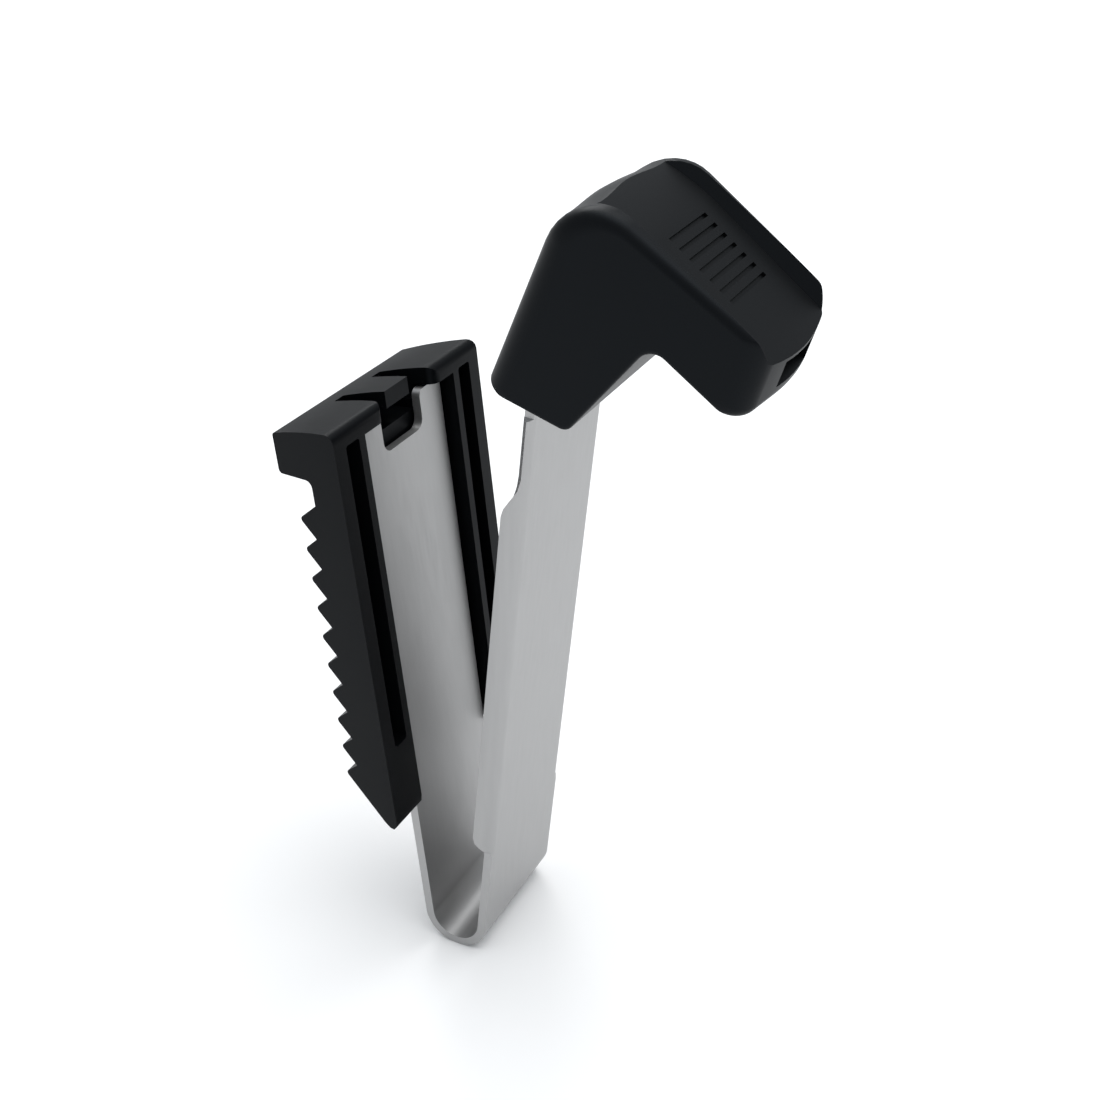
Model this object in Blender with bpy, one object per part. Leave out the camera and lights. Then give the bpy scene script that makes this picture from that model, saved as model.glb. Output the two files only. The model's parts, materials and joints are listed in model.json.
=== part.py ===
"""V-spring clamp clip: a bent leaf spring, a toothed shoe on one leg and a thumb grip on the other.

Each leg is modelled upright in its own frame: origin on the centre line of the U-bend, +Z up the
leg, X across the spring's thickness and Y across its width. Two empties lean the legs apart.
"""
from math import cos, pi, radians, sin, sqrt, tan

import bmesh
import bpy
from mathutils import Matrix, Vector

MM = 0.001

# ---- driving dimensions, millimetres and degrees ----
LEG_ANGLE = 11.66          # between the two legs at rest
BEND_X = -8.45             # centre of the U-bend from the middle of the clip
GAP = 0.3                  # clearance between touching pieces

STRIP_THICK = 1.0
STRIP_WIDTH = 16.0
BEND_INNER_R = 2.94
BEND_OUTER_R = BEND_INNER_R + STRIP_THICK

# shoe leg of the spring
SHOE_LEG_TOP = 61.0
NOTCH_WIDTH = 7.6
NOTCH_BOTTOM = 56.9

# grip leg of the spring
FLANGE_WIDTH = 17.64       # over the two folded flanges
FLANGE_HEIGHT = 2.18       # from the leg's outer face
FLANGE_BOTTOM = 12.3
FLANGE_FULL = 56.0         # up to here the flanges have their full height
FLANGE_TOP = 66.4
FLANGE_ROOT_X = 3.4        # where the flange has died out into the outer edge of the fold
TIP_LEAN = 15.24           # the tip leans over to follow the grip's back
TIP_LENGTH = 14.0          # tip inside the grip
WINDOW_WIDTH = 5.0
WINDOW_HEIGHT = 3.0
WINDOW_DROP = 4.0          # middle of the window below the tip's end

# toothed shoe
SHOE_HALF = 14.06          # half width at the inner face
SHOE_TAPER = 0.2213        # loss of half width per mm towards the teeth
SHOE_FACE_X = -1.5
SHOE_TOP = 63.3
LIP_X = -10.25
LIP_TOP = 61.95
LIP_UNDER = 57.6
BACK_X = -5.68
TOOTH_TIP_X = -8.376
TOOTH_ROOT_X = -6.357
FIRST_TIP_Z = 52.98
TOOTH_PITCH = 3.46
TOOTH_COUNT = 10
UPPER_FLANK = 0.715        # rise per mm of depth above a tip
LOWER_FLANK = 0.965        # fall per mm of depth below a tip
CHANNEL_HALF = 8.72
CHANNEL_TOP = 61.3
POCKET_INNER = 9.8
POCKET_OUTER = 12.1
POCKET_BOTTOM = 26.1
POCKET_DEPTH = 3.4
TONGUE_TIP_X = -3.07
TONGUE_ROOT_X = -7.94
TONGUE_HALF = (2.19, 2.67)  # at the tip and at the root
TONGUE_UNDER = 61.06
SLOT_HALF = (4.95, 4.32)    # outer wall of the two slots, at the mouth and at the root
CATCH_FLOOR = 58.7

# thumb grip, corners of its middle section in the grip leg's frame: x, z, and the corner's radius
# in the middle and at the sides
BACK_FOOT = (-1.5, 70.0, 0.6, 0.6)
KNEE = (5.06, 92.78, 7.5, 4.0)
NOSE_TOP = (26.38, 80.48, 0.6, 0.6)
NOSE_UNDER = (24.6, 71.42, 2.1, 0.7)
CROOK = (14.8, 77.65, 1.7, 1.7)
FRONT_FOOT = (8.1, 67.44, 1.0, 1.0)
GRIP_HALF = 10.66          # half width above the bend's centre line
GRIP_TAPER = 0.083         # loss of half width per mm towards the nose
SIDE_Y = 9.75              # nominal depth of the side faces, before the taper
CROWN_R = 36.0             # the back and top are crowned across the width
NOSE_CROWN_R = 39.0
BACK_EDGE_R = 2.2          # rounding along the side edges
TOP_EDGE_R = 0.8
NOSE_EDGE_R = 2.3
UNDER_EDGE_R = 0.4
DISH_HALF = 7.3
DISH_START = (10.4, 87.3)    # the floor runs flat from here to the nose, and rises over the knee
DISH_END = (25.35, 77.7)
DISH_RISE = (3.4, 89.3)      # point the floor rises to, clear of the knee
TIP_ROOM = 3.0             # the pocket goes on past the spring's tip
TUNNEL_WIDTH = 7.8
TUNNEL_HEIGHT = 2.6
TUNNEL_DROP = 4.6          # centre of the tunnel below the nose's top edge


def fillet(corners, steps=4):
    """Closed outline through (x, z, radius) corners, with each corner rounded by an arc."""
    points = []
    count = len(corners)
    for i, (x, z, radius) in enumerate(corners):
        before = Vector(corners[i - 1][:2]) - Vector((x, z))
        after = Vector(corners[(i + 1) % count][:2]) - Vector((x, z))
        if radius <= 0.0:
            points.append((x, z))
            continue
        before.normalize()
        after.normalize()
        half = before.angle(after) / 2.0
        centre = Vector((x, z)) + (before + after).normalized() * (radius / sin(half))
        start = Vector((x, z)) + before * (radius / tan(half)) - centre
        turn = pi - 2.0 * half
        if before.x * after.y - before.y * after.x > 0.0:
            turn = -turn
        for k in range(steps + 1):
            c, s = cos(turn * k / steps), sin(turn * k / steps)
            points.append((centre.x + c * start.x - s * start.y, centre.y + s * start.x + c * start.y))
    return points


def arc(radius, start_deg, end_deg, steps):
    """Points on a circle about the bend's centre, angles from +X towards +Z."""
    angles = [radians(start_deg + (end_deg - start_deg) * k / steps) for k in range(steps + 1)]
    return [(radius * cos(a), radius * sin(a)) for a in angles]


def plastic(name, colour, roughness):
    """Moulded plastic finish."""
    return finish(name, colour, roughness, 0.0)


def finish(name, colour, roughness, metallic):
    """Principled material of one colour."""
    material = bpy.data.materials.new(name)
    material.use_nodes = True
    shader = material.node_tree.nodes["Principled BSDF"]
    shader.inputs["Base Color"].default_value = (*colour, 1.0)
    shader.inputs["Roughness"].default_value = roughness
    shader.inputs["Metallic"].default_value = metallic
    return material


def add_object(name, mesh, collection, parent):
    """Object for a mesh, in a collection and under a leg's empty."""
    obj = bpy.data.objects.new(name, mesh)
    collection.objects.link(obj)
    obj.parent = parent
    return obj


def slab(name, outline, low_y, high_y, collection, parent):
    """Flat XZ outline extruded along Y between two depths, as a closed mesh."""
    curve = bpy.data.curves.new(name, "CURVE")
    curve.dimensions = "2D"
    curve.fill_mode = "BOTH"
    curve.extrude = (high_y - low_y) / 2.0 * MM
    spline = curve.splines.new("POLY")
    spline.points.add(len(outline) - 1)
    for point, (x, z) in zip(spline.points, outline):
        point.co = (x * MM, z * MM, 0.0, 1.0)
    spline.use_cyclic_u = True
    drawn = bpy.data.objects.new(name + "_outline", curve)
    collection.objects.link(drawn)
    mesh = bpy.data.meshes.new_from_object(drawn.evaluated_get(bpy.context.evaluated_depsgraph_get()))
    bpy.data.objects.remove(drawn)
    upright = Matrix.Translation((0.0, (low_y + high_y) / 2.0 * MM, 0.0)) @ Matrix.Rotation(pi / 2, 4, "X")
    mesh.transform(upright)
    weld(mesh)
    mesh.name = name
    return add_object(name, mesh, collection, parent)


def weld(mesh):
    """Join the loose caps of a mesh to its walls and point its faces outwards."""
    edit = bmesh.new()
    edit.from_mesh(mesh)
    bmesh.ops.remove_doubles(edit, verts=edit.verts, dist=1e-6)
    bmesh.ops.recalc_face_normals(edit, faces=edit.faces)
    edit.to_mesh(mesh)
    edit.free()


def cutter(name, outline, low_y, high_y, parent):
    """Slab used only as a cutting tool."""
    obj = slab(name, outline, low_y, high_y, CUTTERS, parent)
    obj.hide_render = True
    obj.display_type = "WIRE"
    return obj


def box_cutter(name, low, high, parent):
    """Rectangular cutting tool between two corners."""
    outline = [(low[0], low[2]), (high[0], low[2]), (high[0], high[2]), (low[0], high[2])]
    return cutter(name, outline, low[1], high[1], parent)


def cut(obj, tool, operation="DIFFERENCE"):
    """Boolean modifier on a part."""
    boolean = obj.modifiers.new(tool.name, "BOOLEAN")
    boolean.operation = operation
    boolean.object = tool
    boolean.solver = "EXACT"


def shoe_outline():
    """Side view of the shoe: crowned top, lip, ten teeth and the slanted foot."""
    outline = [(SHOE_FACE_X, SHOE_TOP, 1.0), (-5.8, 62.62, 0.0), (LIP_X, LIP_TOP, 0.3),
               (LIP_X, LIP_UNDER, 0.4), (BACK_X, LIP_UNDER, 0.7)]
    tip_depth = BACK_X - TOOTH_TIP_X
    outline.append((BACK_X, FIRST_TIP_Z + tip_depth * UPPER_FLANK, 0.0))
    tooth_depth = TOOTH_ROOT_X - TOOTH_TIP_X
    for i in range(TOOTH_COUNT):
        tip_z = FIRST_TIP_Z - i * TOOTH_PITCH
        outline.append((TOOTH_TIP_X, tip_z, 0.45))
        if i < TOOTH_COUNT - 1:
            outline.append((TOOTH_ROOT_X, tip_z - tooth_depth * LOWER_FLANK, 0.0))
    foot_z = tip_z - (SHOE_FACE_X - TOOTH_TIP_X) * LOWER_FLANK
    outline.append((SHOE_FACE_X, foot_z, 1.1))
    return fillet(outline, 3)


def toothed_shoe(parent):
    """Moulded shoe with teeth and a lip outside, and a channel, pockets and a snap tongue inside."""
    shoe = slab("toothed_shoe", shoe_outline(), -SHOE_HALF, SHOE_HALF, PARTS, parent)
    for vertex in shoe.data.vertices:
        half = SHOE_HALF - SHOE_TAPER * (SHOE_FACE_X - vertex.co.x / MM)
        vertex.co.y *= half / SHOE_HALF
    channel_floor = -BEND_OUTER_R - GAP
    below_foot = FLANGE_BOTTOM
    cut(shoe, box_cutter("channel", (channel_floor, -CHANNEL_HALF, below_foot),
                         (0.0, CHANNEL_HALF, CHANNEL_TOP), parent))
    for side in (-1, 1):
        low_y, high_y = sorted((side * POCKET_INNER, side * POCKET_OUTER))
        cut(shoe, box_cutter(f"pocket_{'near' if side < 0 else 'far'}",
                             (SHOE_FACE_X - POCKET_DEPTH, low_y, POCKET_BOTTOM),
                             (0.0, high_y, CHANNEL_TOP), parent))
    cut(shoe, box_cutter("catch", (TONGUE_ROOT_X, -SLOT_HALF[1], CATCH_FLOOR),
                         (channel_floor + 1.0, SLOT_HALF[1], TONGUE_UNDER), parent))
    cut(shoe, tongue_slots(parent))
    shoe.data.materials.append(plastic("shoe_plastic", (0.013, 0.014, 0.016), 0.42))
    return shoe


def tongue_slots(parent):
    """Cutter around three sides of the snap tongue, as a plan outline raised through the top."""
    mouth = SLOT_HALF[0]
    plan = [(TONGUE_ROOT_X, SLOT_HALF[1]), (TONGUE_ROOT_X, TONGUE_HALF[1]), (TONGUE_TIP_X, TONGUE_HALF[0]),
            (TONGUE_TIP_X, -TONGUE_HALF[0]), (TONGUE_ROOT_X, -TONGUE_HALF[1]),
            (TONGUE_ROOT_X, -SLOT_HALF[1]), (0.0, -mouth), (0.0, mouth)]
    low, high = CATCH_FLOOR + 1.0, SHOE_TOP + 1.0
    slots = cutter("tongue_slots", plan, low, high, parent)
    flat = Matrix.Rotation(-pi / 2, 4, "X")
    slots.data.transform(flat)
    for vertex in slots.data.vertices:
        vertex.co.z = (low if abs(vertex.co.z) < (low + high) / 2 * MM else high) * MM
    weld(slots.data)
    return slots


def spring_shoe_leg(parent):
    """Flat leg of the leaf spring that lies in the shoe, with the notch for the snap tongue."""
    outline = [(-BEND_OUTER_R, GAP), (-BEND_INNER_R, GAP), (-BEND_INNER_R, SHOE_LEG_TOP),
               (-BEND_OUTER_R, SHOE_LEG_TOP)]
    leg = slab("spring_shoe_leg", outline, -STRIP_WIDTH / 2, STRIP_WIDTH / 2, PARTS, parent)
    cut(leg, box_cutter("notch", (-BEND_OUTER_R - 1.0, -NOTCH_WIDTH / 2, NOTCH_BOTTOM),
                        (-BEND_INNER_R + 1.0, NOTCH_WIDTH / 2, SHOE_LEG_TOP + 1.0), parent))
    leg.data.materials.append(STEEL)
    return leg


def spring_bend(parent):
    """U-bend of the leaf spring, from the foot of one leg round to the foot of the other."""
    steps = 24
    outer = arc(BEND_OUTER_R, 180.0, 360.0 - LEG_ANGLE, steps)
    inner = arc(BEND_INNER_R, 360.0 - LEG_ANGLE, 180.0, steps)
    bend = slab("spring_bend", outer + inner, -STRIP_WIDTH / 2, STRIP_WIDTH / 2, PARTS, parent)
    bend.data.materials.append(STEEL)
    return bend


def spring_grip_leg(parent):
    """Channel-section leg of the leaf spring, with its two flanges and the leaning tip."""
    tip = tip_frame()
    end = tip @ Vector((0.0, TIP_LENGTH))
    across = tip.across * (STRIP_THICK / 2)
    foot = tip.foot
    spine = [(BEND_INNER_R, GAP), (BEND_OUTER_R, GAP), (BEND_OUTER_R, foot.y - 0.6),
             tuple(foot + across), tuple(end + across), tuple(end - across), tuple(foot - across),
             (BEND_INNER_R, foot.y - 0.6)]
    leg = slab("spring_grip_leg", spine, -STRIP_WIDTH / 2, STRIP_WIDTH / 2, PARTS, parent)
    free_edge = BEND_OUTER_R - FLANGE_HEIGHT
    side_view = fillet([(BEND_OUTER_R, FLANGE_BOTTOM, 0.0), (BEND_OUTER_R, FLANGE_TOP, 0.0),
                        (FLANGE_ROOT_X, FLANGE_TOP, 0.2), (FLANGE_ROOT_X, 61.1, 0.0),
                        (2.7, 58.9, 1.0), (free_edge, FLANGE_FULL, 0.6), (free_edge, FLANGE_BOTTOM + 0.3, 1.0),
                        (BEND_INNER_R, FLANGE_BOTTOM - 0.1, 0.0)], 3)
    for side in (-1, 1):
        low_y, high_y = sorted((side * (FLANGE_WIDTH / 2 - STRIP_THICK), side * FLANGE_WIDTH / 2))
        name = f"flange_{'near' if side < 0 else 'far'}"
        flange = slab(name, side_view, low_y, high_y, CUTTERS, parent)
        flange.hide_render = True
        flange.display_type = "WIRE"
        cut(leg, flange, "UNION")
    middle = tip @ Vector((0.0, TIP_LENGTH - WINDOW_DROP))
    reach = tip.across * 2.0
    rise = tip.along * (WINDOW_HEIGHT / 2)
    window = [tuple(middle - reach - rise), tuple(middle + reach - rise), tuple(middle + reach + rise),
              tuple(middle - reach + rise)]
    cut(leg, cutter("tip_window", window, -WINDOW_WIDTH / 2, WINDOW_WIDTH / 2, parent))
    leg.data.materials.append(STEEL)
    return leg


class LeaningFrame:
    """Plane frame at the grip's bottom face, along the grip's back."""

    def __init__(self, foot, lean_deg):
        lean = radians(lean_deg)
        self.foot = foot
        self.along = Vector((sin(lean), cos(lean)))
        self.across = Vector((cos(lean), -sin(lean)))

    def __matmul__(self, local):
        return self.foot + self.across * local.x + self.along * local.y


def tip_frame():
    """Where the spring's tip enters the grip's bottom face."""
    left, right = Vector(BACK_FOOT[:2]), Vector(FRONT_FOOT[:2])
    share = ((BEND_INNER_R + BEND_OUTER_R) / 2 - left.x) / (right.x - left.x)
    return LeaningFrame(left + (right - left) * share, TIP_LEAN)


def grip_ring(y):
    """Outline of the grip at depth y: crowned back, top and nose, and rounded side edges."""
    crown = y * y / (2.0 * CROWN_R)
    nose_crown = y * y / (2.0 * NOSE_CROWN_R)
    edges = [(BACK_FOOT, KNEE, crown, BACK_EDGE_R), (KNEE, NOSE_TOP, crown, TOP_EDGE_R),
             (NOSE_TOP, NOSE_UNDER, nose_crown, NOSE_EDGE_R), (NOSE_UNDER, CROOK, 0.0, UNDER_EDGE_R),
             (CROOK, FRONT_FOOT, 0.0, UNDER_EDGE_R), (FRONT_FOOT, BACK_FOOT, 0.0, UNDER_EDGE_R)]
    lines = []
    for start, end, drop, radius in edges:
        into = max(0.0, abs(y) - (SIDE_Y - radius))
        inset = drop + radius - sqrt(max(0.0, radius * radius - into * into))
        run = Vector((end[0] - start[0], end[1] - start[1])).normalized()
        inward = Vector((run.y, -run.x))
        lines.append((Vector(start[:2]) + inward * inset, run))
    corners = []
    for i, (point, run) in enumerate(lines):
        previous, way = lines[i - 1]
        across = way.x * run.y - way.y * run.x
        offset = point - previous
        reach = (offset.x * run.y - offset.y * run.x) / across
        meet = previous + way * reach
        middle_r, side_r = edges[i][0][2:]
        corners.append((meet.x, meet.y, middle_r + (side_r - middle_r) * abs(y / SIDE_Y) ** 3))
    return fillet(corners, 4)


def grip_body(parent):
    """Solid grip lofted through its outlines from one side to the other."""
    half_stations = [0.0, 2.5, 5.0]
    half_stations += [SIDE_Y - NOSE_EDGE_R * (1.0 - sin(radians(a))) for a in (0, 25, 45, 63, 78, 90)]
    stations = [-y for y in reversed(half_stations[1:])] + half_stations
    edit = bmesh.new()
    rings = []
    for y in stations:
        ring = []
        for x, z in grip_ring(y):
            width = y * (GRIP_HALF - GRIP_TAPER * x) / SIDE_Y
            ring.append(edit.verts.new((x * MM, width * MM, z * MM)))
        rings.append(ring)
    count = len(rings[0])
    for low, high in zip(rings, rings[1:]):
        for k in range(count):
            edit.faces.new((low[k], low[(k + 1) % count], high[(k + 1) % count], high[k]))
    edit.faces.new(list(reversed(rings[0])))
    edit.faces.new(rings[-1])
    bmesh.ops.recalc_face_normals(edit, faces=edit.faces)
    mesh = bpy.data.meshes.new("thumb_grip")
    edit.to_mesh(mesh)
    edit.free()
    return add_object("thumb_grip", mesh, PARTS, parent)


def thumb_grip(parent):
    """Grip with its thumb dish, the pocket for the spring's tip and the tunnel in from the nose."""
    grip = grip_body(parent)
    start, end = Vector(DISH_START), Vector(DISH_END)
    run = (end - start).normalized()
    up = Vector((-run.y, run.x))
    rise = fillet([(*DISH_RISE, 0.0), (*DISH_START, 22.0), (*DISH_END, 0.0)])
    dish = rise[:-1] + [tuple(end + run * 4.0), tuple(end + run * 4.0 + up * 9.0),
                        (DISH_RISE[0], DISH_RISE[1] + 9.0)]
    cut(grip, cutter("dish", dish, -DISH_HALF, DISH_HALF, parent))
    tip = tip_frame()
    side = STRIP_THICK / 2 + GAP
    depth = TIP_LENGTH + TIP_ROOM
    slot = [tuple(tip @ Vector((-side, -2.0))), tuple(tip @ Vector((side, -2.0))),
            tuple(tip @ Vector((side, depth))), tuple(tip @ Vector((-side, depth)))]
    cut(grip, cutter("tip_slot", slot, -STRIP_WIDTH / 2 - GAP, STRIP_WIDTH / 2 + GAP, parent))
    cut(grip, nose_tunnel(tip, depth, parent))
    grip.data.materials.append(plastic("grip_plastic", (0.013, 0.014, 0.015), 0.45))
    return grip


def nose_tunnel(tip, depth, parent):
    """Cutter for the rectangular tunnel from the nose's end face in to the top of the tip's pocket."""
    down = (Vector(NOSE_UNDER[:2]) - Vector(NOSE_TOP[:2])).normalized()
    mouth = Vector(NOSE_TOP[:2]) + down * TUNNEL_DROP
    goal = tip @ Vector((0.0, depth - TUNNEL_HEIGHT / 2))
    run = (goal - mouth).normalized()
    side = Vector((-run.y, run.x)) * (TUNNEL_HEIGHT / 2)
    outline = [tuple(mouth - run * 3.0 + side), tuple(goal + side), tuple(goal - side),
               tuple(mouth - run * 3.0 - side)]
    return cutter("nose_tunnel", outline, -TUNNEL_WIDTH / 2, TUNNEL_WIDTH / 2, parent)


def leg_empty(name, lean_deg):
    """Empty on the bend's centre line, leaning a leg over by turning about Y."""
    empty = bpy.data.objects.new(name, None)
    PARTS.objects.link(empty)
    empty.location = (BEND_X * MM, 0.0, BEND_OUTER_R * MM)
    empty.rotation_euler = (0.0, radians(lean_deg), 0.0)
    return empty


for old in list(bpy.data.objects):
    bpy.data.objects.remove(old)
PARTS = bpy.data.collections.new("spring_clamp_clip")
CUTTERS = bpy.data.collections.new("cutters")
bpy.context.scene.collection.children.link(PARTS)
bpy.context.scene.collection.children.link(CUTTERS)
STEEL = finish("spring_steel", (0.55, 0.56, 0.57), 0.32, 1.0)

shoe_side = leg_empty("shoe_leg_axis", -LEG_ANGLE / 2)
grip_side = leg_empty("grip_leg_axis", LEG_ANGLE / 2)
toothed_shoe(shoe_side)
spring_shoe_leg(shoe_side)
spring_bend(shoe_side)
spring_grip_leg(grip_side)
thumb_grip(grip_side)
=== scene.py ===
"""Looks of the toothed V-spring clip: one bent leaf spring, a toothed shoe and a thumb grip.

Each leg of the clip is modelled upright in its own frame, in millimetres: origin on the centre line of
the U-bend, +Z up the leg, X across the strip's thickness and Y across its width. The two legs are then
leaned apart about that centre line, which is the joint's axis in the frame.
"""
import json
import logging
from dataclasses import dataclass
from enum import Enum
from math import atan2, copysign, cos, pi, radians, sin, sqrt, tan
from typing import Iterable, NamedTuple, Sequence

import bmesh
import bpy
from bmesh.types import BMEdge, BMesh, BMVert
from mathutils import Matrix, Vector


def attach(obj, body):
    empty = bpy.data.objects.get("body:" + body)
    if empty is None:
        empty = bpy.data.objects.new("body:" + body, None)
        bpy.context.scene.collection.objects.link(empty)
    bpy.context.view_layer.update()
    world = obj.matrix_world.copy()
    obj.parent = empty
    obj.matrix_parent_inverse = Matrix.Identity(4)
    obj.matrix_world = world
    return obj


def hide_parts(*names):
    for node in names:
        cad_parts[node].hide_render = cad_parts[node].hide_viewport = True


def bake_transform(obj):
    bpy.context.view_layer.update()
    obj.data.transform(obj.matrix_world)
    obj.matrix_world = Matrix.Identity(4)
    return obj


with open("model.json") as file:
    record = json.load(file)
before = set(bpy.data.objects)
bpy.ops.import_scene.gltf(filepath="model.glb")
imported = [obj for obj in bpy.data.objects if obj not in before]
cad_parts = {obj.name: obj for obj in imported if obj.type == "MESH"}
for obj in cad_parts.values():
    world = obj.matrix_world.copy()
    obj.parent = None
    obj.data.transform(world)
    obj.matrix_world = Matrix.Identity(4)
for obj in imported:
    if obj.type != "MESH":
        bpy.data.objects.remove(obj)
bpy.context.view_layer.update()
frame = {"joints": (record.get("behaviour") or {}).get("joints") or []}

MM = 0.001
LEG_ANGLE = 11.66
PIVOT = Vector(frame["joints"][0]["pos_m"])
LOG = logging.getLogger("spring_clip")


class Corner(NamedTuple):
    """Corner of a flat outline, in millimetres, with the radius it is rounded to."""

    x: float
    z: float
    radius: float = 0.0


class Side(Enum):
    """The two halves of the clip about its middle plane."""

    NEAR = -1
    FAR = 1


def leaning(degrees: float) -> Matrix:
    """Matrix that takes a leg's upright frame to the clip's frame.

    Args:
        degrees: lean about the bend's centre line, positive towards the grip.

    Returns:
        The turn about Y, with the bend's centre as its origin.
    """
    return Matrix.Translation(PIVOT) @ Matrix.Rotation(radians(degrees), 4, "Y")


SHOE_LEG = leaning(-LEG_ANGLE / 2)
GRIP_LEG = leaning(LEG_ANGLE / 2)
BETWEEN_LEGS = Matrix.Rotation(radians(LEG_ANGLE), 4, "Y")


def round_edges(mesh: BMesh, edges: Sequence[BMEdge], setback: float, segments: int = 5) -> None:
    """Round some edges with a circular profile.

    Args:
        mesh: the mesh that holds them.
        edges: edges to round.
        setback: distance in millimetres that the rounding takes off each side.
        segments: faces across the rounding.
    """
    bmesh.ops.bevel(mesh, geom=list(edges), offset=setback * MM, offset_type="OFFSET", segments=segments,
                    profile=0.5, affect="EDGES", material=-1, clamp_overlap=False)


def corner_setback(corners: Sequence[Corner], index: int) -> float:
    """Distance from a corner to where its arc starts, for the corner's radius.

    Args:
        corners: the whole closed outline.
        index: which corner.

    Returns:
        The distance in millimetres.
    """
    here = Vector(corners[index][:2])
    before = Vector(corners[index - 1][:2]) - here
    after = Vector(corners[(index + 1) % len(corners)][:2]) - here
    return corners[index].radius / tan(before.angle(after) / 2.0)


def slab(corners: Sequence[Corner], low_y: float, high_y: float, segments: int = 5) -> BMesh:
    """Closed slab from an outline in the XZ plane, extruded along Y, with its corners rounded.

    Args:
        corners: closed outline in millimetres.
        low_y: depth of one face.
        high_y: depth of the other face.
        segments: faces across each rounded corner.

    Returns:
        A new bmesh in metres.
    """
    mesh = bmesh.new()
    verts = [mesh.verts.new((corner.x * MM, low_y * MM, corner.z * MM)) for corner in corners]
    edges = [mesh.edges.new((verts[i - 1], verts[i])) for i in range(len(verts))]
    face = bmesh.ops.edgeloop_fill(mesh, edges=edges)["faces"][0]
    moved = [item for item in bmesh.ops.extrude_face_region(mesh, geom=[face])["geom"]
             if isinstance(item, BMVert)]
    bmesh.ops.translate(mesh, verts=moved, vec=(0.0, (high_y - low_y) * MM, 0.0))
    rounded: dict[float, list[BMEdge]] = {}
    for i, vert in enumerate(verts):
        if corners[i].radius > 0.0:
            edge = max(vert.link_edges, key=lambda e: abs(e.verts[0].co.y - e.verts[1].co.y))
            rounded.setdefault(round(corner_setback(corners, i), 4), []).append(edge)
    for setback, group in rounded.items():
        round_edges(mesh, group, setback, segments)
    bmesh.ops.recalc_face_normals(mesh, faces=mesh.faces)
    return mesh


def plate(corners: Sequence[Corner], low_x: float, high_x: float, segments: int = 5) -> BMesh:
    """Slab whose outline lies in the YZ plane and which is extruded along X.

    Args:
        corners: closed outline, with each corner's first number along Y.
        low_x: depth of one face in millimetres.
        high_x: depth of the other face.
        segments: faces across each rounded corner.

    Returns:
        A new bmesh in metres.
    """
    swap = Matrix(((0.0, 1.0, 0.0), (1.0, 0.0, 0.0), (0.0, 0.0, 1.0))).to_4x4()
    return turned(slab(corners, low_x, high_x, segments), swap)


def bar(corners: Sequence[Corner], low_z: float, high_z: float, segments: int = 5) -> BMesh:
    """Slab whose outline lies in the XY plane and which is extruded along Z.

    Args:
        corners: closed outline, with each corner's second number along Y.
        low_z: height of one face in millimetres.
        high_z: height of the other face.
        segments: faces across each rounded corner.

    Returns:
        A new bmesh in metres.
    """
    swap = Matrix(((1.0, 0.0, 0.0), (0.0, 0.0, 1.0), (0.0, 1.0, 0.0))).to_4x4()
    return turned(slab(corners, low_z, high_z, segments), swap)


def loft(sections: Sequence[Sequence[Vector]]) -> BMesh:
    """Solid drawn out through closed sections that have the same number of points.

    Args:
        sections: each section's points in metres, in the same order in all of them.

    Returns:
        A new bmesh, closed at both ends.
    """
    mesh = bmesh.new()
    verts = [mesh.verts.new(point) for point in sections[0]]
    first = ring = [mesh.edges.new((verts[i - 1], verts[i])) for i in range(len(verts))]
    for section in sections[1:]:
        grown = bmesh.ops.extrude_edge_only(mesh, edges=ring)["geom"]
        ring = [item for item in grown if isinstance(item, BMEdge)]
        fresh = {item for item in grown if isinstance(item, BMVert)}
        verts = [next(v for v in (e.other_vert(old) for e in old.link_edges) if v in fresh) for old in verts]
        for vert, point in zip(verts, section):
            vert.co = point
    bmesh.ops.edgeloop_fill(mesh, edges=first)
    bmesh.ops.edgeloop_fill(mesh, edges=ring)
    bmesh.ops.recalc_face_normals(mesh, faces=mesh.faces)
    return mesh


def block(low: Sequence[float], high: Sequence[float]) -> BMesh:
    """Box between two opposite corners.

    Args:
        low: lowest X, Y and Z in millimetres.
        high: highest X, Y and Z in millimetres.

    Returns:
        A new bmesh in metres.
    """
    mesh = bmesh.new()
    bmesh.ops.create_cube(mesh, size=MM)
    size = [high[i] - low[i] for i in range(3)]
    bmesh.ops.scale(mesh, verts=mesh.verts, vec=size)
    bmesh.ops.translate(mesh, verts=mesh.verts, vec=[(low[i] + high[i]) / 2.0 * MM for i in range(3)])
    return mesh


def turned(mesh: BMesh, matrix: Matrix) -> BMesh:
    """Move a bmesh, and keep its faces outward even after a reflection.

    Args:
        mesh: the bmesh, which is changed.
        matrix: the move.

    Returns:
        The same bmesh.
    """
    bmesh.ops.transform(mesh, matrix=matrix, verts=mesh.verts)
    bmesh.ops.recalc_face_normals(mesh, faces=mesh.faces)
    return mesh


def as_object(name: str, mesh: BMesh) -> bpy.types.Object:
    """Object at the origin that takes over a bmesh.

    Args:
        name: the piece's name.
        mesh: the bmesh, which is freed.

    Returns:
        The new object, linked to the scene.
    """
    data = bpy.data.meshes.new(name)
    mesh.to_mesh(data)
    mesh.free()
    piece = bpy.data.objects.new(name, data)
    bpy.context.scene.collection.objects.link(piece)
    return piece


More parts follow.
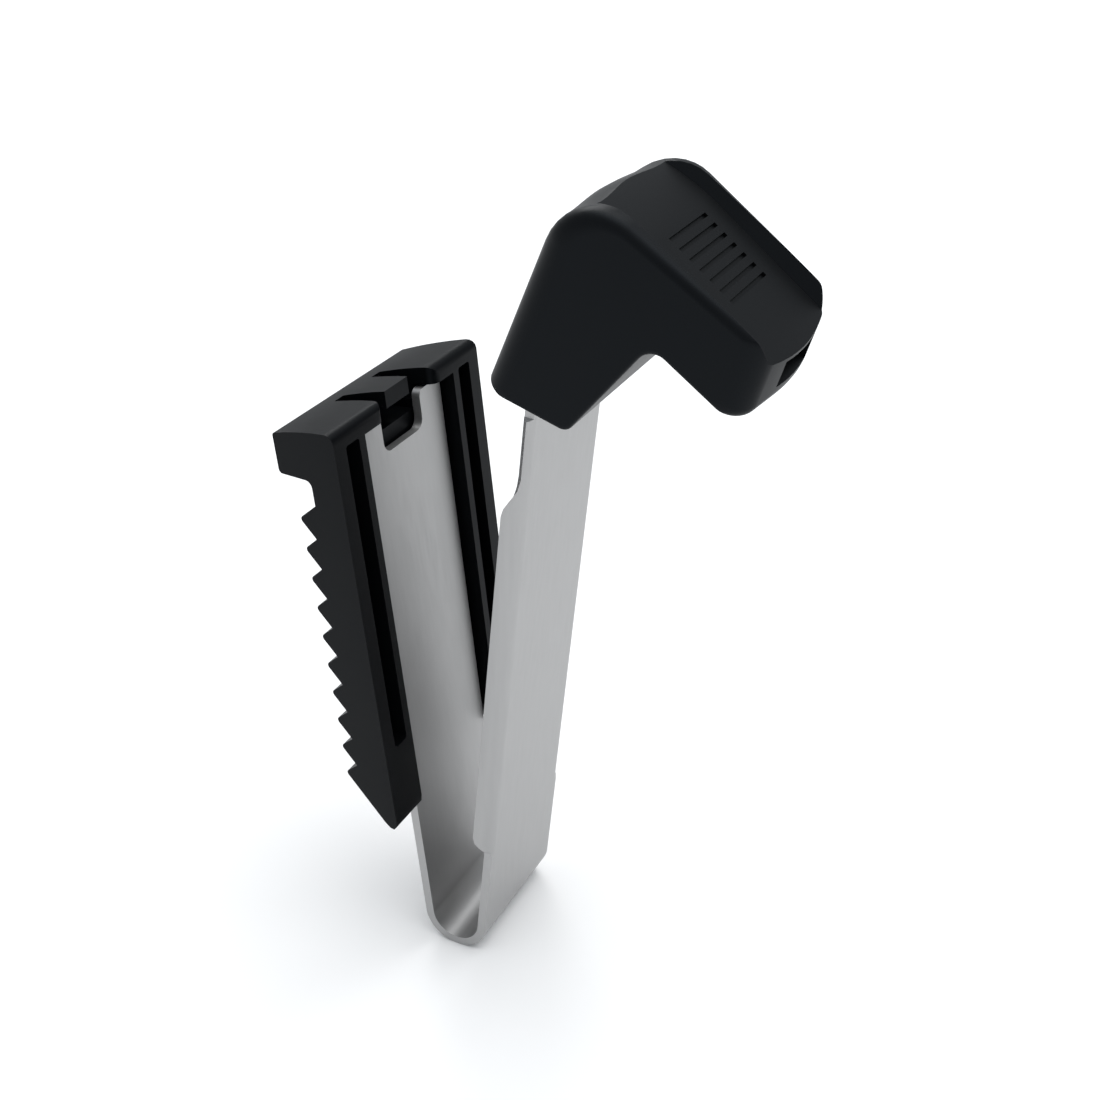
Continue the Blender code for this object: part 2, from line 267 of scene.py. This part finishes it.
def carve(piece: bpy.types.Object, tools: Iterable[BMesh], operation: str = "DIFFERENCE") -> None:
    """Cut or join solids into a piece and keep the result as its mesh.

    Args:
        piece: the piece.
        tools: solids in the piece's own frame, which are used up.
        operation: DIFFERENCE or UNION.
    """
    helpers = [as_object(f"{piece.name}_tool_{i}", tool) for i, tool in enumerate(tools)]
    for helper in helpers:
        boolean = piece.modifiers.new(helper.name, "BOOLEAN")
        boolean.operation = operation
        boolean.object = helper
        boolean.solver = "EXACT"
    apply_modifiers(piece)
    for helper in helpers:
        bpy.data.objects.remove(helper)


def apply_modifiers(piece: bpy.types.Object) -> None:
    """Turn a piece's live modifiers into its mesh.

    Args:
        piece: the piece, which has no modifiers afterwards.
    """
    shown = piece.evaluated_get(bpy.context.evaluated_depsgraph_get())
    data = bpy.data.meshes.new_from_object(shown)
    piece.modifiers.clear()
    old = piece.data
    piece.data = data
    data.name = piece.name
    bpy.data.meshes.remove(old)


def soften(piece: bpy.types.Object, width: float, angle: float = 32.0) -> None:
    """Break a piece's sharp edges, as the mould or deburring leaves them, and shade it smooth.

    Args:
        piece: the piece, with its final shape.
        width: width of the broken edge in millimetres.
        angle: edges sharper than this many degrees are broken.
    """
    piece.data.shade_smooth()
    bevel = piece.modifiers.new("broken_edges", "BEVEL")
    bevel.width = width * MM
    bevel.segments = 3
    bevel.limit_method = "ANGLE"
    bevel.angle_limit = radians(angle)
    bevel.harden_normals = True
    bevel.miter_outer = "MITER_ARC"
    weighted = piece.modifiers.new("even_shading", "WEIGHTED_NORMAL")
    weighted.keep_sharp = True
    weighted.weight = 60


def coat(piece: bpy.types.Object, material: bpy.types.Material) -> None:
    """Give a piece one material all over.

    Args:
        piece: the piece.
        material: its material.
    """
    piece.data.materials.clear()
    piece.data.materials.append(material)


@dataclass(frozen=True)
class MouldedPlastic:
    """Black injection-moulded plastic with a fine spark-eroded texture."""

    name: str
    colour: tuple[float, float, float]
    roughness: float
    gloss: float
    highlight: tuple[float, float, float] = (0.78, 0.89, 1.0)
    grain: float = 5200.0
    grain_depth: float = 0.000012
    cloud: float = 130.0
    colour_change: float = 0.14

    def material(self) -> bpy.types.Material:
        """Node material with fine grain, cloudy gloss and a slight change of colour from flow.

        Returns:
            The new material.
        """
        material = bpy.data.materials.new(self.name)
        material.use_nodes = True
        tree = material.node_tree
        shader = tree.nodes["Principled BSDF"]
        shader.inputs["Specular IOR Level"].default_value = self.gloss
        shader.inputs["IOR"].default_value = 1.5
        shader.inputs["Specular Tint"].default_value = (*self.highlight, 1.0)
        place = tree.nodes.new("ShaderNodeTexCoord")
        grain = tree.nodes.new("ShaderNodeTexNoise")
        grain.inputs["Scale"].default_value = self.grain
        grain.inputs["Detail"].default_value = 3.0
        clouds = tree.nodes.new("ShaderNodeTexNoise")
        clouds.inputs["Scale"].default_value = self.cloud
        clouds.inputs["Detail"].default_value = 4.0
        bump = tree.nodes.new("ShaderNodeBump")
        bump.inputs["Strength"].default_value = 0.35
        bump.inputs["Distance"].default_value = self.grain_depth
        gloss = tree.nodes.new("ShaderNodeMapRange")
        gloss.inputs["To Min"].default_value = self.roughness - 0.05
        gloss.inputs["To Max"].default_value = self.roughness + 0.07
        tint = tree.nodes.new("ShaderNodeMix")
        tint.data_type = "RGBA"
        tint.inputs["A"].default_value = (*[c * (1.0 - self.colour_change) for c in self.colour], 1.0)
        tint.inputs["B"].default_value = (*[c * (1.0 + self.colour_change) for c in self.colour], 1.0)
        for texture in (grain, clouds):
            tree.links.new(place.outputs["Object"], texture.inputs["Vector"])
        tree.links.new(grain.outputs["Fac"], bump.inputs["Height"])
        tree.links.new(clouds.outputs["Fac"], gloss.inputs["Value"])
        tree.links.new(clouds.outputs["Fac"], tint.inputs["Factor"])
        tree.links.new(tint.outputs["Result"], shader.inputs["Base Color"])
        tree.links.new(gloss.outputs["Result"], shader.inputs["Roughness"])
        tree.links.new(bump.outputs["Normal"], shader.inputs["Normal"])
        return material


@dataclass(frozen=True)
class SatinSteel:
    """Cold-rolled spring strip with faint rolling lines along its length."""

    name: str
    colour: tuple[float, float, float]
    roughness: float
    streak: float = 2600.0
    stretch: float = 0.012
    streak_depth: float = 0.0000015
    cloud: float = 90.0
    colour_change: float = 0.05

    def material(self) -> bpy.types.Material:
        """Node material with rolling lines in its gloss and relief, and faint cloudy tarnish.

        Returns:
            The new material.
        """
        material = bpy.data.materials.new(self.name)
        material.use_nodes = True
        tree = material.node_tree
        shader = tree.nodes["Principled BSDF"]
        shader.inputs["Metallic"].default_value = 1.0
        place = tree.nodes.new("ShaderNodeTexCoord")
        along = tree.nodes.new("ShaderNodeMapping")
        along.inputs["Scale"].default_value = (1.0, 1.0, self.stretch)
        lines = tree.nodes.new("ShaderNodeTexNoise")
        lines.inputs["Scale"].default_value = self.streak
        lines.inputs["Detail"].default_value = 3.0
        clouds = tree.nodes.new("ShaderNodeTexNoise")
        clouds.inputs["Scale"].default_value = self.cloud
        clouds.inputs["Detail"].default_value = 5.0
        mixed = tree.nodes.new("ShaderNodeMath")
        mixed.operation = "MULTIPLY"
        gloss = tree.nodes.new("ShaderNodeMapRange")
        gloss.inputs["From Min"].default_value = 0.12
        gloss.inputs["From Max"].default_value = 0.42
        gloss.inputs["To Min"].default_value = self.roughness - 0.03
        gloss.inputs["To Max"].default_value = self.roughness + 0.04
        tint = tree.nodes.new("ShaderNodeMix")
        tint.data_type = "RGBA"
        tint.inputs["A"].default_value = (*[c * (1.0 - self.colour_change) for c in self.colour], 1.0)
        tint.inputs["B"].default_value = (*[c * (1.0 + self.colour_change) for c in self.colour], 1.0)
        bump = tree.nodes.new("ShaderNodeBump")
        bump.inputs["Strength"].default_value = 0.25
        bump.inputs["Distance"].default_value = self.streak_depth
        tree.links.new(place.outputs["Object"], along.inputs["Vector"])
        tree.links.new(along.outputs["Vector"], lines.inputs["Vector"])
        tree.links.new(place.outputs["Object"], clouds.inputs["Vector"])
        tree.links.new(lines.outputs["Fac"], mixed.inputs[0])
        tree.links.new(clouds.outputs["Fac"], mixed.inputs[1])
        tree.links.new(mixed.outputs["Value"], gloss.inputs["Value"])
        tree.links.new(clouds.outputs["Fac"], tint.inputs["Factor"])
        tree.links.new(lines.outputs["Fac"], bump.inputs["Height"])
        tree.links.new(tint.outputs["Result"], shader.inputs["Base Color"])
        tree.links.new(gloss.outputs["Result"], shader.inputs["Roughness"])
        tree.links.new(bump.outputs["Normal"], shader.inputs["Normal"])
        return material


class Station(NamedTuple):
    """Place along the strip, with the blank's half width there and how far its edges are folded."""

    place: Matrix
    half: float
    fold: float = 0.0


@dataclass
class LeafSpring:
    """One strip of spring steel: a flat leg for the shoe, a U-bend, and a flanged leg for the grip."""

    thick: float = 1.0
    width: float = 16.0
    bend_inner: float = 2.94
    bend_outer: float = 3.94
    shoe_top: float = 61.0
    notch_width: float = 7.6
    notch_bottom: float = 56.9
    notch_round: float = 1.2
    notch_flare: float = 0.9
    top_round: float = 1.0
    flange_half: float = 8.82
    flange_bottom: float = 12.0
    flange_edge: float = 1.76
    flange_top: float = 66.45
    fold_radius: float = 1.5
    shelf_fold: float = 1.31
    bend_steps: int = 40
    fold_steps: int = 12
    blend_reach: float = 3.0
    tip_foot_z: float = 68.6
    tip_lean: float = 15.24
    tip_length: float = 13.8

    def blank_half(self, height: float) -> float:
        """Half width of the flat blank at a height on the grip leg, in millimetres.

        Args:
            height: height above the bend's centre.

        Returns:
            The half width, which swells into the flanges and steps back in above them.
        """
        flat = self.flange_half - self.fold_radius
        arc = self.fold_radius * pi / 2.0
        full = flat + arc + self.bend_outer - self.fold_radius - self.flange_edge
        shelf = flat + self.shelf_fold
        stations = [(self.flange_bottom, self.width / 2.0), (self.flange_bottom + 0.55, full - 1.3),
                    (self.flange_bottom + 1.3, full - 0.22), (self.flange_bottom + 2.1, full), (55.8, full),
                    (56.7, full - 0.2), (57.9, full - 0.85), (59.0, shelf + 0.25), (60.2, shelf),
                    (self.flange_top, shelf)]
        for (low, before), (high, after) in zip(stations, stations[1:]):
            if height <= high:
                return before + (after - before) * (height - low) / (high - low)
        return self.width / 2.0

    def across(self, half: float, fold: float) -> list[Vector]:
        """Half of the strip's section, from its middle to its edge, on the outer face and back inside.

        Args:
            half: half width of the blank.
            fold: how far the edge is folded, from 0 for flat to 1.

        Returns:
            The points in the XY plane, in millimetres.
        """
        start = self.flange_half - self.fold_radius
        outer, inner = [], []
        for k in range(self.fold_steps + 1):
            run = start + (half - start) * k / self.fold_steps
            flat = Vector((self.bend_outer, run)), Vector((self.bend_inner, run))
            turn = min((run - start) / self.fold_radius, pi / 2.0)
            rest = max(0.0, run - start - self.fold_radius * pi / 2.0)
            centre = Vector((self.bend_outer - self.fold_radius - rest, start))
            way = Vector((cos(turn), sin(turn)))
            outer.append(flat[0].lerp(centre + way * self.fold_radius, fold))
            inner.append(flat[1].lerp(centre + way * (self.fold_radius - self.thick), fold))
        return outer + inner[::-1]

    def stations(self) -> list[Station]:
        """Places along the whole strip, from the grip leg's tip round to the top of the shoe leg.

        Returns:
            The stations, in the grip leg's frame.
        """
        half = self.width / 2.0
        middle = (self.bend_outer - self.thick / 2.0) * MM
        tip = (self.raised(self.tip_foot_z) @ Matrix.Translation((middle, 0.0, 0.0))
               @ Matrix.Rotation(radians(self.tip_lean), 4, "Y") @ Matrix.Translation((-middle, 0.0, 0.0)))
        places = [Station(tip @ self.raised(self.tip_length), half), Station(tip @ self.raised(0.4), half),
                  Station(self.raised(self.tip_foot_z - 0.4), half),
                  Station(self.raised(self.flange_top + 0.25), half)]
        heights = [self.flange_top, 64.0, 61.5, 60.2, 59.6, 59.0, 58.4, 57.9, 57.3, 56.7, 56.2, 55.8,
                   45.0, 35.0, 25.0, 16.0, 14.1, 13.7, 13.3, 12.9, 12.55]
        places += [Station(self.raised(z), self.blank_half(z), 1.0) for z in heights]
        places.append(Station(self.raised(self.flange_bottom + 0.1), half + 0.2, 0.6))
        places.append(Station(self.raised(self.flange_bottom - 0.5), half))
        swing = radians(180.0 - LEG_ANGLE)
        places += [Station(Matrix.Rotation(swing * k / self.bend_steps, 4, "Y"), half)
                   for k in range(self.bend_steps + 1)]
        return places + [Station(Matrix.Rotation(swing, 4, "Y") @ self.raised(-self.shoe_top), half)]

    @staticmethod
    def raised(height: float) -> Matrix:
        """Matrix that moves a section up its leg by some millimetres."""
        return Matrix.Translation((0.0, 0.0, height * MM))

    def strip(self) -> BMesh:
        """The whole strip, folded and bent.

        Returns:
            The strip in the grip leg's frame.
        """
        sections = []
        for station in self.stations():
            points = self.across(station.half, station.fold)
            points += [Vector((p.x, -p.y)) for p in reversed(points)]
            sections.append([station.place @ Vector((p.x * MM, p.y * MM, 0.0)) for p in points])
        return loft(sections)

    def notch(self) -> BMesh:
        """Cutter for the notch that takes the shoe's snap tongue, rounded below and flared above.

        Returns:
            The cutter in the shoe leg's frame.
        """
        half = self.notch_width / 2.0
        over = self.shoe_top + 2.0
        view = [Corner(-half, self.notch_bottom, self.notch_round),
                Corner(half, self.notch_bottom, self.notch_round),
                Corner(half, self.shoe_top, self.notch_flare), Corner(half + 2.0, self.shoe_top),
                Corner(half + 2.0, over), Corner(-half - 2.0, over), Corner(-half - 2.0, self.shoe_top),
                Corner(-half, self.shoe_top, self.notch_flare)]
        return plate(view, -self.bend_outer - 1.0, -self.bend_inner + 1.0)

    def build(self) -> bpy.types.Object:
        """The whole leaf spring as one piece.

        Returns:
            The object, in the clip's frame.
        """
        strip = turned(self.strip(), BETWEEN_LEGS)
        self.round_top(strip)
        piece = as_object("leaf_spring", strip)
        carve(piece, [self.notch()])
        piece.data.transform(SHOE_LEG)
        soften(piece, 0.09)
        return piece

    def round_top(self, mesh: BMesh) -> None:
        """Round the two outer corners at the top of the shoe leg.

        Args:
            mesh: the strip in the shoe leg's frame.
        """
        close, half = 0.01, self.width / 2.0
        corners = [edge for edge in mesh.edges
                   if all(abs(vert.co.z / MM - self.shoe_top) < close
                          and abs(abs(vert.co.y / MM) - half) < close for vert in edge.verts)]
        round_edges(mesh, corners, self.top_round, 6)

    def dress(self, piece: bpy.types.Object, steel: bpy.types.Material) -> None:
        """Give the spring its finish, hide the CAD spring's parts and bake its placement into its mesh.

        Args:
            piece: the spring.
            steel: its material.
        """
        coat(piece, steel)
        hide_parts("spring_shoe_leg", "spring_bend", "spring_grip_leg")
        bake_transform(piece)


@dataclass
class ToothedShoe:
    """Moulded shoe: lip and saw teeth outside, channel, pockets and snap tongue inside."""

    half: float = 14.06
    taper: float = 0.2213
    face_x: float = -1.5
    top: float = 63.3
    lip_x: float = -10.25
    lip_under: float = 57.6
    back_x: float = -5.68
    tip_x: float = -8.376
    root_x: float = -6.357
    first_tip: float = 52.98
    pitch: float = 3.46
    teeth: int = 10
    tooth_round: float = 0.42
    upper_flank: float = 0.715
    lower_flank: float = 0.965
    channel_half: float = 8.72
    channel_floor: float = -4.24
    channel_top: float = 61.3
    pocket_inner: float = 9.8
    pocket_outer: float = 12.1
    pocket_bottom: float = 26.1
    pocket_floor: float = -4.9
    tongue_tip: float = -3.07
    tongue_root: float = -7.94
    tongue_under: float = 61.06
    tongue_half: tuple[float, float] = (2.19, 2.67)
    slot_half: tuple[float, float] = (4.95, 4.32)
    catch_floor: float = 58.7

    def outline(self) -> list[Corner]:
        """Side view of the shoe.

        Returns:
            The crowned top, the lip, the teeth and the slanted foot.
        """
        corners = [Corner(self.face_x, self.top, 1.0), Corner(-5.8, 62.98, 38.0),
                   Corner(self.lip_x, 61.95, 0.35), Corner(self.lip_x, self.lip_under, 0.45),
                   Corner(self.back_x, self.lip_under, 0.75),
                   Corner(self.back_x, self.first_tip + (self.back_x - self.tip_x) * self.upper_flank)]
        for i in range(self.teeth):
            tip_z = self.first_tip - i * self.pitch
            corners.append(Corner(self.tip_x, tip_z, self.tooth_round))
            if i < self.teeth - 1:
                root_z = tip_z - (self.root_x - self.tip_x) * self.lower_flank
                corners.append(Corner(self.root_x, root_z, 0.06))
        corners.append(Corner(self.face_x, tip_z - (self.face_x - self.tip_x) * self.lower_flank, 1.1))
        return corners

    def taper_sides(self, mesh: BMesh) -> None:
        """Lean both side faces in towards the teeth.

        Args:
            mesh: the shoe in its leg's frame.
        """
        for vert in mesh.verts:
            half = self.half - self.taper * (self.face_x - vert.co.x / MM)
            vert.co.y *= half / self.half

    def pocket(self, side: Side) -> BMesh:
        """Cutter for the deep pocket between a rib and the outer wall.

        Args:
            side: which side of the channel.

        Returns:
            The cutter in the shoe leg's frame.
        """
        across = sorted((side.value * self.pocket_inner, side.value * self.pocket_outer))
        top = self.channel_top + 0.1
        view = [Corner(across[0], self.pocket_bottom, 0.5), Corner(across[1], self.pocket_bottom, 0.5),
                Corner(across[1], top, 0.3), Corner(across[0], top, 0.3)]
        return plate(view, self.pocket_floor, 0.0, 3)

    def slots(self) -> BMesh:
        """Cutter for the slots on three sides of the snap tongue, with flared mouths.

        Returns:
            The cutter, from the catch recess up through the top.
        """
        root, mouth = self.tongue_root, self.face_x
        clear = 8.0
        half = [Corner(2.0, clear), Corner(mouth, clear), Corner(mouth, self.slot_half[0], 1.2),
                Corner(root, self.slot_half[1], 0.2), Corner(root, self.tongue_half[1], 0.15),
                Corner(self.tongue_tip, self.tongue_half[0])]
        plan = half + [Corner(c.x, -c.z, c.radius) for c in reversed(half)]
        return bar(plan, self.catch_floor + 1.0, self.top + 1.5)

    def build(self) -> bpy.types.Object:
        """The whole shoe as one moulding.

        Returns:
            The object, in the clip's frame.
        """
        body = slab(self.outline(), -self.half, self.half, 4)
        self.taper_sides(body)
        piece = as_object("shoe_moulding", body)
        catch = self.slot_half[1]
        channel = block((self.channel_floor, -self.channel_half, 12.0),
                        (0.0, self.channel_half, self.channel_top))
        recess = block((self.tongue_root, -catch, self.catch_floor), (-3.2, catch, self.tongue_under))
        carve(piece, [channel, recess, self.slots(), self.pocket(Side.NEAR), self.pocket(Side.FAR)])
        piece.data.transform(SHOE_LEG)
        soften(piece, 0.12)
        return piece

    def dress(self, piece: bpy.types.Object, plastic: bpy.types.Material) -> None:
        """Give the shoe its finish and fix it to the shoe leg.

        Args:
            piece: the shoe.
            plastic: its material.
        """
        coat(piece, plastic)
        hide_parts("toothed_shoe")
        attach(piece, "shoe_side")


class GripCorner(NamedTuple):
    """Corner of the grip's middle section, with its radius in the middle and at the sides."""

    x: float
    z: float
    middle: float
    side: float


@dataclass
class ThumbGrip:
    """Moulded thumb grip: crowned back and top, thumb dish, hooked nose and end tunnel."""

    back_foot: GripCorner = GripCorner(-1.5, 70.0, 0.6, 0.6)
    knee: GripCorner = GripCorner(5.06, 92.6, 7.6, 4.0)
    nose_top: GripCorner = GripCorner(26.31, 80.49, 0.6, 0.6)
    nose_under: GripCorner = GripCorner(24.55, 71.42, 2.1, 0.7)
    crook: GripCorner = GripCorner(14.8, 77.65, 1.7, 1.7)
    front_foot: GripCorner = GripCorner(8.1, 67.44, 1.0, 1.0)
    half: float = 10.66
    taper: float = 0.083
    side_y: float = 9.75
    crown: float = 36.0
    nose_crown: float = 39.0
    back_edge: float = 2.2
    top_edge: float = 0.8
    nose_edge: float = 2.3
    under_edge: float = 0.4
    dish_half: float = 7.3
    dish_start: tuple[float, float] = (10.4, 87.4)
    dish_end: tuple[float, float] = (25.35, 77.85)
    dish_round: float = 22.0
    dish_flare: float = 5.0
    tip_foot: tuple[float, float] = (3.44, 68.7)
    tip_lean: float = 15.24
    tunnel_width: float = 7.8
    tunnel_height: float = 2.6
    tunnel_drop: float = 4.6
    tunnel_end: tuple[float, float] = (7.5, 83.2)
    grooves_count: int = 7
    groove_pitch: float = 1.25
    groove_width: float = 0.42
    groove_half: float = 4.2

    def section(self, depth: float) -> list[Vector]:
        """Outline of the grip at one depth, with its corners as arcs.

        Args:
            depth: nominal Y of the section, up to side_y either way.

        Returns:
            The outline's points in the XZ plane, in millimetres.
        """
        crown = depth * depth / (2.0 * self.crown)
        nose = depth * depth / (2.0 * self.nose_crown)
        corners = [self.back_foot, self.knee, self.nose_top, self.nose_under, self.crook, self.front_foot]
        drops = [(crown, self.back_edge), (crown, self.top_edge), (nose, self.nose_edge),
                 (0.0, self.under_edge), (0.0, self.under_edge), (0.0, self.under_edge)]
        lines = []
        for i, (drop, edge) in enumerate(drops):
            start, end = Vector(corners[i][:2]), Vector(corners[(i + 1) % len(corners)][:2])
            into = max(0.0, abs(depth) - (self.side_y - edge))
            inset = drop + edge - sqrt(max(0.0, edge * edge - into * into))
            run = (end - start).normalized()
            lines.append((start + Vector((run.y, -run.x)) * inset, run))
        points = []
        for i, corner in enumerate(corners):
            (before, way), (here, run) = lines[i - 1], lines[i]
            offset = here - before
            reach = (offset.x * run.y - offset.y * run.x) / (way.x * run.y - way.y * run.x)
            radius = corner.middle + (corner.side - corner.middle) * abs(depth / self.side_y) ** 3
            points += self.arc(before + way * reach, -way, run, radius)
        return points

    @staticmethod
    def arc(corner: Vector, back: Vector, ahead: Vector, radius: float, steps: int = 10) -> list[Vector]:
        """Points of the arc that rounds a corner.

        Args:
            corner: the corner.
            back: direction to the corner before it.
            ahead: direction to the corner after it.
            radius: the arc's radius.
            steps: stretches in the arc.

        Returns:
            The arc's points, in order.
        """
        half = back.angle(ahead) / 2.0
        centre = corner + (back + ahead).normalized() * (radius / sin(half))
        start = corner + back * (radius / tan(half)) - centre
        turn = pi - 2.0 * half
        if back.x * ahead.y - back.y * ahead.x > 0.0:
            turn = -turn
        return [centre + Matrix.Rotation(turn * k / steps, 2) @ start for k in range(steps + 1)]

    def depths(self) -> list[float]:
        """Depths of the sections, closer together where the side edges are rounded.

        Returns:
            The depths in millimetres, from one side to the other.
        """
        half = [k * (self.side_y - self.nose_edge) / 8 for k in range(9)]
        half += [self.side_y - self.nose_edge * (1.0 - sin(radians(7.5 * k))) for k in range(1, 13)]
        return [-y for y in reversed(half[1:])] + half

    def body(self) -> BMesh:
        """The solid grip, drawn out section by section from one side to the other.

        Returns:
            The grip in the grip leg's frame.
        """
        return loft([self.place(depth) for depth in self.depths()])

    def place(self, depth: float) -> list[Vector]:
        """Section at one depth, narrowed towards the nose.

        Args:
            depth: nominal Y of the section, in millimetres.

        Returns:
            The section's points in metres.
        """
        return [Vector((p.x, depth * (self.half - self.taper * p.x) / self.side_y, p.y)) * MM
                for p in self.section(depth)]

    def dish_frame(self) -> tuple[Vector, Vector, Vector]:
        """Where the dish's flat floor starts and how it lies.

        Returns:
            The floor's start, the way along it to the nose, and the way up out of it.
        """
        start = Vector((self.dish_start[0], 0.0, self.dish_start[1]))
        run = (Vector((self.dish_end[0], 0.0, self.dish_end[1])) - start).normalized()
        return start, run, Vector((-run.z, 0.0, run.x))

    def dish(self) -> BMesh:
        """Cutter for the thumb dish, whose floor rises out over the knee and whose walls slope.

        Returns:
            The cutter in the grip leg's frame.
        """
        start, run, up = self.dish_frame()
        nose = start + run * 22.0
        high = nose + up * 9.0
        view = [Corner(start.x - 7.0, start.z + 2.0), Corner(start.x, start.z, self.dish_round),
                Corner(nose.x, nose.z), Corner(high.x, high.z), Corner(start.x - 7.0, start.z + 12.0)]
        mesh = slab(view, -self.dish_half, self.dish_half, 16)
        for vert in mesh.verts:
            above = (vert.co / MM - start).dot(up) > 5.0
            if above:
                vert.co.y += copysign(self.dish_flare * MM, vert.co.y)
        return mesh

    def grooves(self) -> list[BMesh]:
        """Cutters for plain cross grooves in the dish floor.

        Returns:
            One thin cutter for each groove.
        """
        start, run = self.dish_frame()[:2]
        tilt = Matrix.Rotation(atan2(-run.z, run.x), 4, "Y")
        half = self.groove_width / 2.0
        cutters = []
        for k in range(self.grooves_count):
            middle = (start + run * (3.6 + self.groove_pitch * k)) * MM
            groove = block((-half, -self.groove_half, -0.3), (half, self.groove_half, 2.0))
            cutters.append(turned(groove, Matrix.Translation(middle) @ tilt))
        return cutters

    def tip_pocket(self) -> BMesh:
        """Cutter for the pocket that takes the spring's tip.

        Returns:
            The cutter in the grip leg's frame.
        """
        pocket = block((-0.8, -8.3, -2.0), (0.8, 8.3, 17.0))
        foot = Vector((self.tip_foot[0], 0.0, self.tip_foot[1])) * MM
        return turned(pocket, Matrix.Translation(foot) @ Matrix.Rotation(radians(self.tip_lean), 4, "Y"))

    def tunnel(self) -> BMesh:
        """Cutter for the tunnel in from the nose's end face to the top of the tip's pocket.

        Returns:
            The cutter in the grip leg's frame.
        """
        down = (Vector(self.nose_under[:2]) - Vector(self.nose_top[:2])).normalized()
        mouth = Vector(self.nose_top[:2]) + down * self.tunnel_drop
        end = Vector(self.tunnel_end)
        run = (end - mouth).normalized()
        side = Vector((-run.y, run.x)) * (self.tunnel_height / 2.0)
        points = [mouth - run * 3.0 + side, end + side, end - side, mouth - run * 3.0 - side]
        half = self.tunnel_width / 2.0
        return slab([Corner(p.x, p.y) for p in points], -half, half)

    def build(self) -> bpy.types.Object:
        """The whole grip as one moulding.

        Returns:
            The object, in the clip's frame.
        """
        piece = as_object("grip_moulding", self.body())
        carve(piece, [self.dish()])
        carve(piece, [self.tip_pocket(), self.tunnel(), *self.grooves()])
        piece.data.transform(GRIP_LEG)
        soften(piece, 0.12, 28.0)
        return piece

    def dress(self, piece: bpy.types.Object, plastic: bpy.types.Material) -> None:
        """Give the grip its finish and fix it to the grip leg.

        Args:
            piece: the grip.
            plastic: its material.
        """
        coat(piece, plastic)
        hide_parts("thumb_grip")
        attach(piece, "grip_side")


@dataclass
class Studio:
    """Pale floor, soft lights and the camera."""

    lens: float = 50.06
    elevation: float = 29.575
    azimuth: float = 26.737
    offset: tuple[float, float, float] = (0.070197, -0.122806, 0.125436)
    aim_height: float = 0.045
    floor_size: float = 3.0
    floor_grey: float = 0.93

    def floor(self) -> None:
        """Wide pale floor under the clip."""
        mesh = bmesh.new()
        bmesh.ops.create_grid(mesh, x_segments=1, y_segments=1, size=self.floor_size)
        floor = as_object("floor", mesh)
        material = bpy.data.materials.new("pale_floor")
        material.use_nodes = True
        shader = material.node_tree.nodes["Principled BSDF"]
        shader.inputs["Base Color"].default_value = (*[self.floor_grey] * 3, 1.0)
        shader.inputs["Roughness"].default_value = 0.9
        shader.inputs["Specular IOR Level"].default_value = 0.0
        floor.data.materials.append(material)

    def light(self, name: str, place: Sequence[float], size: float, watts: float) -> None:
        """Square soft light aimed at the middle of the clip.

        Args:
            name: the light's name.
            place: its position in metres.
            size: its side in metres.
            watts: its power.
        """
        data = bpy.data.lights.new(name, "AREA")
        data.size = size
        data.energy = watts
        lamp = bpy.data.objects.new(name, data)
        lamp.location = place
        aim = Vector((0.0, 0.0, self.aim_height)) - Vector(place)
        lamp.rotation_euler = aim.to_track_quat("-Z", "Y").to_euler()
        bpy.context.scene.collection.objects.link(lamp)

    def lights(self) -> None:
        """Even pale surroundings, a broad light overhead and a smaller one from the back left."""
        world = bpy.data.worlds.new("studio")
        world.use_nodes = True
        background = world.node_tree.nodes["Background"]
        background.inputs["Color"].default_value = (0.91, 0.955, 1.0, 1.0)
        background.inputs["Strength"].default_value = 0.5
        bpy.context.scene.world = world
        self.light("back_left", (-0.8, 1.1, 0.9), 0.6, 4.6)
        self.light("overhead", (0.3, 0.3, 2.3), 2.8, 60.0)

    def camera(self) -> None:
        """Camera that looks down on the clip from its right front."""
        data = bpy.data.cameras.new("camera")
        data.lens = self.lens
        data.clip_start = 0.005
        camera = bpy.data.objects.new("camera", data)
        camera.location = PIVOT + Vector(self.offset)
        camera.rotation_euler = (radians(90.0 - self.elevation), 0.0, radians(self.azimuth))
        bpy.context.scene.collection.objects.link(camera)
        bpy.context.scene.camera = camera

    def build(self) -> None:
        """Set up everything that isn't part of the clip."""
        self.floor()
        self.lights()
        self.camera()
        bpy.context.scene.view_settings.view_transform = "Standard"


def main() -> None:
    """Build and dress the clip's three pieces in the studio."""
    logging.basicConfig(level=logging.INFO, format="%(name)s: %(message)s")
    Studio().build()
    # The shoe's plastic has a darker colour and less gloss than the grip's. The darker colour is painted
    # shade that stands in for the dimmer light falling on the shoe's sides.
    shoe_plastic = MouldedPlastic("shoe_plastic", (0.0017, 0.0019, 0.0023), 0.40, 0.065).material()
    grip_plastic = MouldedPlastic("grip_plastic", (0.0028, 0.0030, 0.0034), 0.42, 0.12).material()
    steel = SatinSteel("spring_steel", (0.405, 0.404, 0.404), 0.48).material()
    assembly = ((LeafSpring(), steel), (ToothedShoe(), shoe_plastic), (ThumbGrip(), grip_plastic))
    for maker, finish in assembly:
        piece = maker.build()
        maker.dress(piece, finish)
        LOG.info("%s: %d faces", piece.name, len(piece.data.polygons))


if __name__ == "__main__":
    main()
